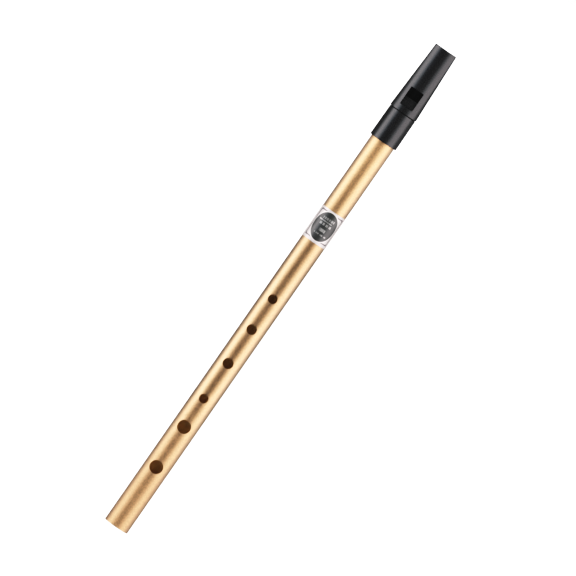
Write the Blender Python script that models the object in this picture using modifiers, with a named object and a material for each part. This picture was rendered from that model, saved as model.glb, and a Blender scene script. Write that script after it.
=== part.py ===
"""Tin whistle in D: a satin gold tube with six finger holes, and a black moulded mouthpiece on it.

Metres, +Z up. The whistle stands on the foot of its tube. The origin is the centre of the foot,
+Z points to the mouth, and the finger holes and the window face -Y. The mouthpiece slides along
the tube to tune the whistle and turns about it, with a thin sleeve between the two.
"""

import math

import bmesh
import bpy
from mathutils import Matrix, Vector

# --- Driving dimensions -----------------------------------------------------------------------
OVERALL_LENGTH = 0.2950
SEGMENTS = 72  # sides of every turned piece, so that facets line up where pieces fit together
HOLE_SEGMENTS = 40
SCOOP_SEGMENTS = 240
SHARP_ANGLE = math.radians(30)
FLAT_ANGLE = math.radians(0.01)  # a face bent by more than this is divided

# Tube
TUBE_DIAMETER = 0.0137
TUBE_WALL = 0.0005
TUBE_EDGE = 0.0001  # chamfer left by deburring the two cut ends
FINGER_HOLES = (  # height of the centre above the foot, and diameter, from the mouth down
    (0.1410, 0.0049),
    (0.1222, 0.0053),
    (0.1012, 0.00555),
    (0.0794, 0.0048),
    (0.0619, 0.00705),
    (0.0370, 0.00705),
)

# Label
LABEL_BOTTOM = 0.1766
LABEL_HEIGHT = 0.0185
LABEL_THICKNESS = 0.00012
LABEL_GAP = 0.00003  # its layer of glue
LABEL_FACETS = 40  # facets of the tube that it covers

# Mouthpiece, with heights above its rim: a round ferrule, and a cone that is flatter in front
HEAD_LENGTH = 0.0565
FERRULE_LENGTH = 0.0179
FERRULE_RIM_DIAMETER = 0.0157
FERRULE_TOP_DIAMETER = 0.0154
CONE_BASE_WIDTH = 0.0158
CONE_TIP_WIDTH = 0.0124
CONE_FRONT_RADIUS = 0.0086  # of the wide arc across its front, all the way up
CONE_CORNER_AT_BASE = 0.0050  # radius of the corners between that arc and the flanks
CONE_CORNER_AT_TIP = 0.0008
RIM_ROUND = 0.00025
TIP_ROUND = 0.0004
GROOVE_DEPTH = 0.00025  # groove between the ferrule and the cone
GROOVE_HEIGHT = 0.0003
EDGE_CHAMFER = 0.00015
CONE_BACK_STEPS = 36
CONE_CORNER_STEPS = 6
CONE_FRONT_STEPS = 20
CONE_ROWS = 5
TIP_ROWS = 6

# Socket that takes the tube, and the chamber above it
SOCKET_DEPTH = 0.0204
SOCKET_DIAMETER = 0.0142
SOCKET_LEAD_IN = 0.00025
CHAMBER_DIAMETER = 0.0122
CHAMBER_FLAT = 0.0052  # distance from the axis to the flat under the blade

# Window, blade and ramp, as distances below the tip
WINDOW_WIDTH = 0.00755
WINDOW_START = 0.0249
BLADE_START = 0.0303
RAMP_END = 0.0353
BLADE_THICKNESS = 0.00015
RAMP_DEPTH = 0.00675  # distance from the axis to the ramp's far end

# Windway, with distances from the axis
WINDWAY_WIDTH = 0.0066
WINDWAY_ROOF_AT_WINDOW = 0.00595
WINDWAY_ROOF_AT_TIP = 0.00460
WINDWAY_FLOOR_AT_WINDOW = 0.00495
WINDWAY_FLOOR_AT_TIP = 0.00310

# Fipple block
BLOCK_DIAMETER_AT_WINDOW = 0.0120
BLOCK_DIAMETER_AT_TIP = 0.0098
BLOCK_FIT = 0.00005
BLOCK_INSET = 0.00015  # how far its end lies below the face of the tip

# Beak, hollowed at the back by a cylinder across the whistle
BEAK_BACK_AT_TIP = 0.0006  # distance behind the axis
BEAK_SCOOP_LENGTH = 0.0230
BEAK_SCOOP_TILT = math.radians(4)  # slope of the scoop where it meets the tip
SCOOP_WIDTH = 0.030

# Sleeve between the tube and the socket
SLEEVE_CLEARANCE = 0.00005
SLEEVE_START = 0.0015  # above the rim
SLEEVE_END = 0.0174

OVERSHOOT = 0.0005  # how far a cutter runs on into the open
CLEAR_OF_ALL = 0.012  # from the axis, outside every surface of the whistle

# --- Worked out from them ---------------------------------------------------------------------
HEAD_BOTTOM = OVERALL_LENGTH - HEAD_LENGTH
TUBE_LENGTH = HEAD_BOTTOM + FERRULE_LENGTH
TUBE_RADIUS = TUBE_DIAMETER / 2
SOCKET_RADIUS = SOCKET_DIAMETER / 2
WINDOW_TOP = HEAD_LENGTH - WINDOW_START
BLADE_EDGE = HEAD_LENGTH - BLADE_START
RAMP_BOTTOM = HEAD_LENGTH - RAMP_END


# --- Scene tools ------------------------------------------------------------------------------
def clear_scene():
    for old in list(bpy.data.objects):
        bpy.data.objects.remove(old)


def make_collection(name):
    made = bpy.data.collections.new(name)
    bpy.context.scene.collection.children.link(made)
    return made


def make_material(name, colour, roughness, metallic):
    material = bpy.data.materials.new(name)
    material.use_nodes = True
    material.diffuse_color = (*colour, 1.0)
    shader = material.node_tree.nodes["Principled BSDF"]
    shader.inputs["Base Color"].default_value = (*colour, 1.0)
    shader.inputs["Roughness"].default_value = roughness
    shader.inputs["Metallic"].default_value = metallic
    return material


def make_empty(name, location, parent, group):
    empty = bpy.data.objects.new(name, None)
    empty.empty_display_size = TUBE_DIAMETER
    empty.location = location
    empty.parent = parent
    group.objects.link(empty)
    return empty


def place(name, mesh, location, parent, group):
    piece = bpy.data.objects.new(name, mesh)
    piece.location = location
    piece.parent = parent
    group.objects.link(piece)
    return piece


def place_cutter(name, mesh, parent, group):
    cutter = place(name, mesh, (0, 0, 0), parent, group)
    cutter.hide_render = True
    cutter.display_type = "WIRE"
    return cutter


def cut(piece, cutter):
    modifier = piece.modifiers.new(cutter.name, "BOOLEAN")
    modifier.operation = "DIFFERENCE"
    modifier.solver = "EXACT"
    modifier.object = cutter


def settle(piece, material):
    """Give a piece its material, apply its modifiers and shade it smooth between its sharp edges."""
    bpy.context.view_layer.update()
    graph = bpy.context.evaluated_depsgraph_get()
    mesh = bpy.data.meshes.new_from_object(piece.evaluated_get(graph))
    piece.modifiers.clear()
    piece.data = mesh
    mesh.name = piece.name
    mesh.materials.clear()
    mesh.materials.append(material)
    mesh.shade_smooth()
    mesh.set_sharp_from_angle(angle=SHARP_ANGLE)


# --- Shape tools ------------------------------------------------------------------------------
def arc(centre, radius, start, end, steps):
    """Points on an arc about centre, from angle start to angle end in degrees."""
    angles = [math.radians(start + (end - start) * i / steps) for i in range(steps + 1)]
    return [(centre[0] + radius * math.cos(a), centre[1] + radius * math.sin(a)) for a in angles]


def outline_mesh(name, points, closed):
    """A chain of edges in the XZ plane through (radius, height) points."""
    mesh = bpy.data.meshes.new(name)
    edges = [(i, i + 1) for i in range(len(points) - 1)]
    if closed:
        edges.append((len(points) - 1, 0))
    mesh.from_pydata([(radius, 0, height) for radius, height in points], edges, [])
    return mesh


def turn(piece, angle=math.tau, steps=SEGMENTS):
    """Turn a piece's outline about its Z axis."""
    screw = piece.modifiers.new("turn", "SCREW")
    screw.axis = "Z"
    screw.angle = angle
    screw.steps = steps
    screw.render_steps = steps
    screw.use_merge_vertices = angle == math.tau
    screw.merge_threshold = 0.000001


def cylinder_mesh(name, radius, length, segments, matrix):
    mesh = bpy.data.meshes.new(name)
    bm = bmesh.new()
    bmesh.ops.create_cone(
        bm,
        cap_ends=True,
        segments=segments,
        radius1=radius,
        radius2=radius,
        depth=length,
        matrix=matrix,
    )
    bm.to_mesh(mesh)
    bm.free()
    return mesh


def flatted_cone_mesh(name, bottom, top, radii, flats):
    """A cone between two heights, planed flat at the front.

    radii and flats give the radius and the flat's distance from the axis, at bottom and at top.
    """
    mesh = bpy.data.meshes.new(name)
    bm = bmesh.new()
    bmesh.ops.create_cone(
        bm,
        cap_ends=True,
        segments=SEGMENTS,
        radius1=radii[0],
        radius2=radii[1],
        depth=top - bottom,
        matrix=Matrix.Translation((0, 0, (top + bottom) / 2)),
    )
    lower = Vector((0, -flats[0], bottom))
    upper = Vector((0, -flats[1], top))
    outward = Vector((1, 0, 0)).cross(upper - lower)
    if outward.y > 0:
        outward.negate()
    bmesh.ops.bisect_plane(
        bm,
        geom=bm.verts[:] + bm.edges[:] + bm.faces[:],
        plane_co=lower,
        plane_no=outward,
        clear_outer=True,
    )
    bmesh.ops.holes_fill(bm, edges=[edge for edge in bm.edges if edge.is_boundary])
    bmesh.ops.recalc_face_normals(bm, faces=bm.faces[:])
    bm.to_mesh(mesh)
    bm.free()
    return mesh


def loft_mesh(name, rings):
    """A closed form through level rings of (x, y, z) points, with as many points in each."""
    mesh = bpy.data.meshes.new(name)
    bm = bmesh.new()
    loops = [[bm.verts.new(point) for point in ring] for ring in rings]
    for lower, upper in zip(loops, loops[1:]):
        for i in range(len(lower)):
            bm.faces.new((lower[i - 1], lower[i], upper[i], upper[i - 1]))
    bm.faces.new(loops[0])
    bm.faces.new(loops[-1])
    bmesh.ops.connect_verts_nonplanar(bm, angle_limit=FLAT_ANGLE, faces=bm.faces[:])
    bmesh.ops.recalc_face_normals(bm, faces=bm.faces[:])
    bm.to_mesh(mesh)
    bm.free()
    return mesh


def prism_mesh(name, outline, width):
    """A prism across X, width wide, with an outline of (distance in front of the axis, height)."""
    mesh = bpy.data.meshes.new(name)
    bm = bmesh.new()
    side = bm.faces.new([bm.verts.new((-width / 2, -front, height)) for front, height in outline])
    far = bmesh.ops.extrude_face_region(bm, geom=[side])["geom"]
    far_verts = [item for item in far if isinstance(item, bmesh.types.BMVert)]
    bmesh.ops.translate(bm, verts=far_verts, vec=(width, 0, 0))
    bmesh.ops.recalc_face_normals(bm, faces=bm.faces[:])
    bm.to_mesh(mesh)
    bm.free()
    return mesh


def taper(at_bottom, at_top, bottom, top, height):
    """The value at a height, on the straight line through a value at bottom and one at top."""
    return at_bottom + (at_top - at_bottom) * (height - bottom) / (top - bottom)


# --- Tube -------------------------------------------------------------------------------------
def build_tube(parts, cutters):
    inner = TUBE_RADIUS - TUBE_WALL
    outline = [
        (TUBE_RADIUS - TUBE_EDGE, TUBE_LENGTH),
        (TUBE_RADIUS, TUBE_LENGTH - TUBE_EDGE),
        (TUBE_RADIUS, TUBE_EDGE),
        (TUBE_RADIUS - TUBE_EDGE, 0),
        (inner + TUBE_EDGE, 0),
        (inner, TUBE_EDGE),
        (inner, TUBE_LENGTH - TUBE_EDGE),
        (inner + TUBE_EDGE, TUBE_LENGTH),
    ]
    tube = place("body_tube", outline_mesh("tube_outline", outline, True), (0, 0, 0), None, parts)
    turn(tube)
    across = Matrix.Rotation(math.pi / 2, 4, "X")
    for number, (height, diameter) in enumerate(FINGER_HOLES, start=1):
        centre = Matrix.Translation((0, -TUBE_RADIUS, height))
        name = f"finger_hole_{number}"
        mesh = cylinder_mesh(name, diameter / 2, TUBE_RADIUS, HOLE_SEGMENTS, centre @ across)
        cut(tube, place_cutter(name, mesh, None, cutters))
    return tube


# --- Label ------------------------------------------------------------------------------------
def build_label(parts):
    """A foil sticker bent round the front of the tube, a little over half way."""
    radius = TUBE_RADIUS + LABEL_GAP
    mesh = outline_mesh("label_edge", [(radius, LABEL_HEIGHT), (radius, 0)], False)
    label = place("label", mesh, (0, 0, LABEL_BOTTOM), None, parts)
    wrap = math.tau * LABEL_FACETS / SEGMENTS
    label.rotation_euler.z = -math.pi / 2 - wrap / 2
    turn(label, wrap, LABEL_FACETS)
    skin = label.modifiers.new("thickness", "SOLIDIFY")
    skin.thickness = LABEL_THICKNESS
    skin.offset = 1
    skin.use_even_offset = True
    return label


# --- Tuning sleeve ----------------------------------------------------------------------------
def build_sleeve(slide, parts):
    inner = TUBE_RADIUS + SLEEVE_CLEARANCE
    outer = SOCKET_RADIUS - SLEEVE_CLEARANCE
    outline = [(outer, SLEEVE_END), (outer, SLEEVE_START), (inner, SLEEVE_START), (inner, SLEEVE_END)]
    mesh = outline_mesh("sleeve_outline", outline, True)
    sleeve = place("tuning_sleeve", mesh, (0, 0, 0), slide, parts)
    turn(sleeve)
    return sleeve


# --- Mouthpiece -------------------------------------------------------------------------------
def cone_section(height, inset):
    """(x, y) points round the cone, or round a curve that lies inset within it.

    They run over a half circle behind, a corner, the wide arc in front and the other corner.
    """

    def here(at_base, at_tip):
        return taper(at_base, at_tip, FERRULE_LENGTH, HEAD_LENGTH, height)

    half_width = here(CONE_BASE_WIDTH, CONE_TIP_WIDTH) / 2
    corner = here(CONE_CORNER_AT_BASE, CONE_CORNER_AT_TIP)
    to_corner = CONE_FRONT_RADIUS - corner
    swing = math.asin((half_width - corner) / to_corner)
    front_centre = CONE_FRONT_RADIUS - half_width
    corner_x = half_width - corner
    corner_y = front_centre - to_corner * math.cos(swing)
    left = 270 - math.degrees(swing)
    right = 270 + math.degrees(swing)
    return [
        *arc((0, 0), half_width - inset, 0, 180, CONE_BACK_STEPS),
        *arc((-corner_x, corner_y), corner - inset, 180, left, CONE_CORNER_STEPS),
        *arc((0, front_centre), CONE_FRONT_RADIUS - inset, left, right, CONE_FRONT_STEPS)[1:],
        *arc((corner_x, corner_y), corner - inset, right, 360, CONE_CORNER_STEPS)[1:],
    ]


def ferrule_section(radius):
    """(x, y) points round a circle, in line with those of the cone's base."""
    base = [Vector(point).normalized() for point in cone_section(FERRULE_LENGTH, 0)]
    return [(radius * direction.x, radius * direction.y) for direction in base]


def mouthpiece_rings():
    """The moulding's outside, from the rim up to the tip."""
    rim = FERRULE_RIM_DIAMETER / 2
    top = FERRULE_TOP_DIAMETER / 2
    under_groove = FERRULE_LENGTH - GROOVE_HEIGHT
    ferrule = [
        *arc((rim - RIM_ROUND, RIM_ROUND), RIM_ROUND, -90, 0, 4),
        (top, under_groove - EDGE_CHAMFER),
        (top - EDGE_CHAMFER, under_groove),
        (top - GROOVE_DEPTH, under_groove),
        (top - GROOVE_DEPTH, FERRULE_LENGTH),
    ]
    rings = [[(x, y, height) for x, y in ferrule_section(radius)] for radius, height in ferrule]

    cone_start = FERRULE_LENGTH + EDGE_CHAMFER
    cone_end = HEAD_LENGTH - TIP_ROUND
    cone = [(EDGE_CHAMFER, FERRULE_LENGTH)]
    cone += [(0, taper(cone_start, cone_end, 0, CONE_ROWS, row)) for row in range(CONE_ROWS)]
    cone += [
        (TIP_ROUND - across, cone_end + up) for across, up in arc((0, 0), TIP_ROUND, 0, 90, TIP_ROWS)
    ]
    rings += [[(x, y, height) for x, y in cone_section(height, inset)] for inset, height in cone]
    return rings


def socket_outline():
    """The bore that takes the tube, wider at its mouth, from its top centre to below the rim."""
    mouth = SOCKET_RADIUS + SOCKET_LEAD_IN + OVERSHOOT
    return [
        (0, SOCKET_DEPTH),
        (SOCKET_RADIUS, SOCKET_DEPTH),
        (SOCKET_RADIUS, SOCKET_LEAD_IN),
        (mouth, -OVERSHOOT),
        (0, -OVERSHOOT),
    ]


def window_outline():
    """The window and its ramp: open from the outside down to the blade and into the chamber."""
    blade = CHAMBER_FLAT + BLADE_THICKNESS
    inside = CHAMBER_FLAT - 2 * OVERSHOOT
    return [
        (CLEAR_OF_ALL, RAMP_BOTTOM),
        (RAMP_DEPTH, RAMP_BOTTOM),
        (blade, BLADE_EDGE),
        (inside, BLADE_EDGE),
        (inside, WINDOW_TOP),
        (CLEAR_OF_ALL, WINDOW_TOP),
    ]


def windway_outline():
    """The slot from the tip to the window; it runs on into the bore that the block fills."""
    start = WINDOW_TOP - OVERSHOOT
    end = HEAD_LENGTH + OVERSHOOT

    def roof(height):
        return taper(WINDWAY_ROOF_AT_WINDOW, WINDWAY_ROOF_AT_TIP, WINDOW_TOP, HEAD_LENGTH, height)

    def below_floor(height):
        floor = taper(WINDWAY_FLOOR_AT_WINDOW, WINDWAY_FLOOR_AT_TIP, WINDOW_TOP, HEAD_LENGTH, height)
        return floor - OVERSHOOT

    return [(roof(start), start), (roof(end), end), (below_floor(end), end), (below_floor(start), start)]


def block_shape(name, bottom, top, fit):
    """The tapered, flat-topped form of the fipple block, smaller all round by fit."""

    def radius(height):
        at_window = BLOCK_DIAMETER_AT_WINDOW / 2
        at_tip = BLOCK_DIAMETER_AT_TIP / 2
        return taper(at_window, at_tip, WINDOW_TOP, HEAD_LENGTH, height) - fit

    def flat(height):
        floor = taper(WINDWAY_FLOOR_AT_WINDOW, WINDWAY_FLOOR_AT_TIP, WINDOW_TOP, HEAD_LENGTH, height)
        return floor - fit

    radii = (radius(bottom), radius(top))
    flats = (flat(bottom), flat(top))
    return flatted_cone_mesh(name, bottom, top, radii, flats)


def scoop_mesh():
    """The cylinder across the back of the beak, through the tip's back edge and the cone's back."""
    start = HEAD_LENGTH - BEAK_SCOOP_LENGTH
    back_at_start = taper(
        CONE_BASE_WIDTH / 2, CONE_TIP_WIDTH / 2, FERRULE_LENGTH, HEAD_LENGTH, start
    )
    rise = back_at_start - BEAK_BACK_AT_TIP
    tilt_sin = math.sin(BEAK_SCOOP_TILT)
    tilt_cos = math.cos(BEAK_SCOOP_TILT)
    chord_squared = BEAK_SCOOP_LENGTH**2 + rise**2
    radius = chord_squared / (2 * (rise * tilt_cos - BEAK_SCOOP_LENGTH * tilt_sin))
    axis_height = HEAD_LENGTH + radius * tilt_sin
    axis_back = BEAK_BACK_AT_TIP + radius * tilt_cos
    across = Matrix.Rotation(math.pi / 2, 4, "Y")
    centre = Matrix.Translation((0, axis_back, axis_height))
    return cylinder_mesh("beak_scoop", radius, SCOOP_WIDTH, SCOOP_SEGMENTS, centre @ across)


def build_mouthpiece(twist, parts, cutters):
    mesh = loft_mesh("mouthpiece_form", mouthpiece_rings())
    head = place("mouthpiece", mesh, (0, 0, 0), twist, parts)

    socket_mesh = outline_mesh("socket", socket_outline(), False)
    socket = place_cutter("socket", socket_mesh, twist, cutters)
    turn(socket)

    chamber_radius = CHAMBER_DIAMETER / 2
    chamber_mesh = flatted_cone_mesh(
        "chamber",
        SOCKET_DEPTH - OVERSHOOT,
        WINDOW_TOP - OVERSHOOT / 2,
        (chamber_radius, chamber_radius),
        (CHAMBER_FLAT, CHAMBER_FLAT),
    )
    seat_mesh = block_shape("block_seat", WINDOW_TOP - OVERSHOOT, HEAD_LENGTH + OVERSHOOT, 0)
    window_mesh = prism_mesh("window", window_outline(), WINDOW_WIDTH)
    windway_mesh = prism_mesh("windway", windway_outline(), WINDWAY_WIDTH)

    cut(head, socket)
    cut(head, place_cutter("chamber", chamber_mesh, twist, cutters))
    cut(head, place_cutter("block_seat", seat_mesh, twist, cutters))
    cut(head, place_cutter("windway", windway_mesh, twist, cutters))
    cut(head, place_cutter("window", window_mesh, twist, cutters))
    return head


def build_block(twist, parts):
    mesh = block_shape("fipple_block", WINDOW_TOP, HEAD_LENGTH - BLOCK_INSET, BLOCK_FIT)
    return place("fipple_block", mesh, (0, 0, 0), twist, parts)


# --- Assembly ---------------------------------------------------------------------------------
def main():
    clear_scene()
    parts = make_collection("tin_whistle")
    cutters = make_collection("cutters")

    gold = make_material("satin_gold_brass", (0.72, 0.46, 0.20), 0.32, 1.0)
    black = make_material("black_moulded_plastic", (0.012, 0.012, 0.014), 0.28, 0.0)
    foil = make_material("silver_label_foil", (0.62, 0.62, 0.60), 0.40, 0.6)
    film = make_material("white_tuning_film", (0.80, 0.80, 0.78), 0.60, 0.0)

    settle(build_tube(parts, cutters), gold)
    settle(build_label(parts), foil)

    slide = make_empty("tuning_slide_axis", (0, 0, HEAD_BOTTOM), None, parts)
    twist = make_empty("head_twist_axis", (0, 0, 0), slide, parts)
    settle(build_sleeve(slide, parts), film)

    scoop = place_cutter("beak_scoop", scoop_mesh(), twist, cutters)
    head = build_mouthpiece(twist, parts, cutters)
    block = build_block(twist, parts)
    cut(head, scoop)
    cut(block, scoop)
    settle(head, black)
    settle(block, black)


main()
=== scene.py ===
"""Looks of the tin whistle: satin gold tube, black moulded mouthpiece and printed foil label.

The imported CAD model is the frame. The tube, mouthpiece, fipple block and label are rebuilt here as
finer meshes in the same places, and the sleeve keeps its CAD shape. Metres, +Z up, front at -Y.
"""

import math

import bmesh
import bpy
from mathutils import Matrix, Vector


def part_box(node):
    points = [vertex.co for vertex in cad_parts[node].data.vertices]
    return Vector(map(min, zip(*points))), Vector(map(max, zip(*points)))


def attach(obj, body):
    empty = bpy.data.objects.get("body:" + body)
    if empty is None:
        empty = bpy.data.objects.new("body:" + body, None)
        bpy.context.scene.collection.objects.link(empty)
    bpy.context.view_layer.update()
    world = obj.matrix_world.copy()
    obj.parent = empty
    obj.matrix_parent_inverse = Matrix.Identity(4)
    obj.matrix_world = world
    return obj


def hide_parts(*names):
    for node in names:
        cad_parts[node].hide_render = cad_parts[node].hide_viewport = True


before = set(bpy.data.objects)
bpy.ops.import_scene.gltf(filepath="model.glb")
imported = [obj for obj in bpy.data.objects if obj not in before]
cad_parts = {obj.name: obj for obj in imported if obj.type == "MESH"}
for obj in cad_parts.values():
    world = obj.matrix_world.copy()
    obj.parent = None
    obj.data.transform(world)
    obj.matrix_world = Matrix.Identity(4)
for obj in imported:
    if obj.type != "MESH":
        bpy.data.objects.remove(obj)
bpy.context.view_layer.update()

MM = 0.001

# --- Places and sizes, from the frame ---------------------------------------------------------
TUBE_LOW, TUBE_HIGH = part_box("body_tube")
HEAD_LOW, HEAD_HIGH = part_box("mouthpiece")
LABEL_LOW, LABEL_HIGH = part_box("label")
WHISTLE_CENTRE = Vector((0, 0, (TUBE_LOW.z + HEAD_HIGH.z) / 2))
WHISTLE_LENGTH = HEAD_HIGH.z - TUBE_LOW.z
TUBE_RADIUS = TUBE_HIGH.x
HEAD_LENGTH = HEAD_HIGH.z - HEAD_LOW.z
LABEL_RADIUS = -LABEL_LOW.y

# --- Tube -------------------------------------------------------------------------------------
TUBE_WALL = 0.5 * MM
TUBE_COLUMNS = 128
FRONT_COLUMNS = 32  # those in the strip that holds the finger holes
HOLE_ROWS = 16  # rows of that strip beside each hole
HOLE_MARGIN = 1.6 * MM  # from a hole's edge to the end of its rows
EDGE_ROUND = 0.12 * MM
EDGE_STEPS = 4  # facets of the rounding at a hole
END_STEPS = 3  # facets of the rounding at each end, outside and inside
RINGS_ROUND_HOLE = (0.62, 0.34, 0.16, 0.06)  # shares of the way out from the hole's edge
RINGS_INSIDE_HOLE = (0.15, 0.5)
WORN_END = 0.8 * MM  # how far the brightening of a worn end reaches along the tube
FINGER_HOLES = (  # height above the foot and diameter, from the mouth down
    (141.0 * MM, 4.90 * MM),
    (122.2 * MM, 5.30 * MM),
    (101.2 * MM, 5.55 * MM),
    (79.4 * MM, 4.80 * MM),
    (61.9 * MM, 7.05 * MM),
    (37.0 * MM, 7.05 * MM),
)

# --- Mouthpiece, with heights above its rim ---------------------------------------------------
FERRULE_LENGTH = 17.9 * MM
FERRULE_RIM_RADIUS = 7.85 * MM
FERRULE_TOP_RADIUS = 7.70 * MM
CONE_HALF_WIDTH = (7.90 * MM, 6.20 * MM)  # at the base and at the tip
CONE_CORNER = (5.0 * MM, 0.8 * MM)
CONE_FRONT_RADIUS = 8.6 * MM
RIM_ROUND = 0.25 * MM
TIP_ROUND = 0.4 * MM
GROOVE_DEPTH = 0.50 * MM  # of the V between the ferrule and the cone
GROOVE_HEIGHT = 0.30 * MM
SHOULDER_ROUND = 0.2 * MM
FERRULE_EDGE_ROUND = 0.2 * MM
CONE_ROWS = 60
BACK_STEPS = 72
CORNER_STEPS = 18
FRONT_STEPS = 60
RIM_STEPS = 5
FERRULE_EDGE_STEPS = 6
SHOULDER_STEPS = 4
TIP_STEPS = 7

SCOOP_LENGTH = 23.0 * MM  # the hollow at the back of the beak
SCOOP_TILT = math.radians(4)
BEAK_BACK = 0.6 * MM  # how far behind the axis the beak's back is at the tip
BEAK_CORNER = 0.7 * MM  # softness of the edge between the scoop and the cone

SOCKET_RADIUS = 7.10 * MM
SOCKET_START = 0.1 * MM  # inside the lead-in
SOCKET_DEPTH = 20.4 * MM
SOCKET_LEAD_IN = 0.25 * MM
CHAMBER_RADIUS = 6.10 * MM
CHAMBER_FLAT = 5.20 * MM

WINDOW_WIDTH = 7.55 * MM
WINDOW_TOP = HEAD_LENGTH - 24.9 * MM
BLADE_EDGE = HEAD_LENGTH - 30.3 * MM
RAMP_BOTTOM = HEAD_LENGTH - 35.3 * MM
BLADE_THICKNESS = 0.15 * MM
RAMP_DEPTH = 6.75 * MM
WINDWAY_WIDTH = 6.6 * MM
WINDWAY_ROOF = (5.95 * MM, 4.60 * MM)  # distances from the axis, at the window and at the tip
WINDWAY_FLOOR = (4.95 * MM, 3.10 * MM)
BLOCK_RADIUS = (6.00 * MM, 4.90 * MM)
BLOCK_FIT = 0.05 * MM
BLOCK_INSET = 0.15 * MM
RUN_ON = 0.5 * MM  # how far a cutter runs on into the open
CLEAR_OF_ALL = 12 * MM
BORE_SEGMENTS = 192

# --- Label ------------------------------------------------------------------------------------
LABEL_WRAP = math.radians(200)
LABEL_THICKNESS = 0.12 * MM
LABEL_CORNER = 1.0 * MM
LABEL_COLUMNS = 96
LABEL_ROWS = 36

# --- Camera and light -------------------------------------------------------------------------
CAMERA_DISTANCE = 4.0
CAMERA_AZIMUTH = math.radians(3.0)
CAMERA_ELEVATION = math.radians(3.2)
CAMERA_LEAN = math.radians(34.79)  # the whistle leans this far to the right in the picture
PICTURE_WIDTH = 0.993 * WHISTLE_LENGTH
AIM_RIGHT = 3.6 * MM
AIM_UP = 0.33 * MM
SENSOR_WIDTH = 36.0  # millimetres
FLOOR_RADIUS = 60.0
FLOOR_SIDES = 96


# --- Mesh tools -------------------------------------------------------------------------------
SMOOTH_ANGLE = math.radians(35)  # edges sharper than this are shaded as edges
TUBE_SMOOTH_ANGLE = math.radians(50)


def make_piece(name, bm):
    """A new object from a bmesh, with its faces turned outwards."""
    bmesh.ops.recalc_face_normals(bm, faces=bm.faces[:])
    mesh = bpy.data.meshes.new(name)
    bm.to_mesh(mesh)
    bm.free()
    piece = bpy.data.objects.new(name, mesh)
    bpy.context.scene.collection.objects.link(piece)
    return piece


def shade(piece, angle=SMOOTH_ANGLE):
    piece.data.shade_smooth()
    piece.data.set_sharp_from_angle(angle=angle)


def apply_modifiers(piece):
    bpy.context.view_layer.update()
    graph = bpy.context.evaluated_depsgraph_get()
    mesh = bpy.data.meshes.new_from_object(piece.evaluated_get(graph))
    piece.modifiers.clear()
    piece.data = mesh
    mesh.name = piece.name


def carve(piece, cutters, operation="DIFFERENCE"):
    """Cut a piece by closed objects, which are then removed."""
    for cutter in cutters:
        modifier = piece.modifiers.new(cutter.name, "BOOLEAN")
        modifier.operation = operation
        modifier.solver = "EXACT"
        modifier.object = cutter
    apply_modifiers(piece)
    for cutter in cutters:
        bpy.data.objects.remove(cutter)


def finish_piece(piece, body, node, material):
    """Put a piece on its body in place of its CAD node, with its material."""
    piece.data.materials.clear()
    piece.data.materials.append(material)
    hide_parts(node)
    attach(piece, body)


def bridge(bm, ring, next_ring):
    """Quads between two closed rings of vertices."""
    count = len(ring)
    for i in range(count):
        j = (i + 1) % count
        bm.faces.new((ring[i], ring[j], next_ring[j], next_ring[i]))


def blend_value(start, end, share):
    return start + (end - start) * share


# --- Tube -------------------------------------------------------------------------------------
class TubeSkin:
    """The vertices of the tube's outer or inner skin, on a grid of rows (heights) and columns."""

    def __init__(self, bm, radius, heights):
        self.bm = bm
        self.radius = radius
        self.heights = heights
        self.made = {}

    def angle(self, column):
        """Angle round from the front."""
        return math.tau * column / TUBE_COLUMNS

    def at(self, row, column):
        column = (column + TUBE_COLUMNS // 2) % TUBE_COLUMNS - TUBE_COLUMNS // 2
        if (row, column) not in self.made:
            angle = self.angle(column)
            place = (
                self.radius * math.sin(angle),
                -self.radius * math.cos(angle),
                self.heights[row],
            )
            self.made[row, column] = self.bm.verts.new(place)
        return self.made[row, column]

    def ring(self, row):
        return [self.at(row, column) for column in range(TUBE_COLUMNS)]

    def border(self, first_row):
        """The grid's vertices round a hole, anticlockwise as seen from the front."""
        half = FRONT_COLUMNS // 2
        last_row = first_row + HOLE_ROWS
        bottom = [(first_row, column) for column in range(-half, half)]
        right = [(row, half) for row in range(first_row, last_row)]
        top = [(last_row, column) for column in range(half, -half, -1)]
        left = [(row, -half) for row in range(last_row, first_row, -1)]
        return [self.at(row, column) for row, column in bottom + right + top + left]


def hole_ring(bm, directions, centre_height, hole_radius, skin_radius):
    """Vertices where a drill of hole_radius meets a cylinder of skin_radius."""
    ring = []
    for direction in directions:
        x = hole_radius * math.cos(direction)
        z = centre_height + hole_radius * math.sin(direction)
        ring.append(bm.verts.new((x, -math.sqrt(skin_radius**2 - x**2), z)))
    return ring


def skin_ring(bm, inner, outer, share, skin_radius):
    """A ring of vertices on a cylinder, a share of the way from one ring to another."""
    ring = []
    for a, b in zip(inner, outer):
        angle = blend_value(math.atan2(a.co.x, -a.co.y), math.atan2(b.co.x, -b.co.y), share)
        height = blend_value(a.co.z, b.co.z, share)
        ring.append(
            bm.verts.new((skin_radius * math.sin(angle), -skin_radius * math.cos(angle), height))
        )
    return ring


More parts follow.
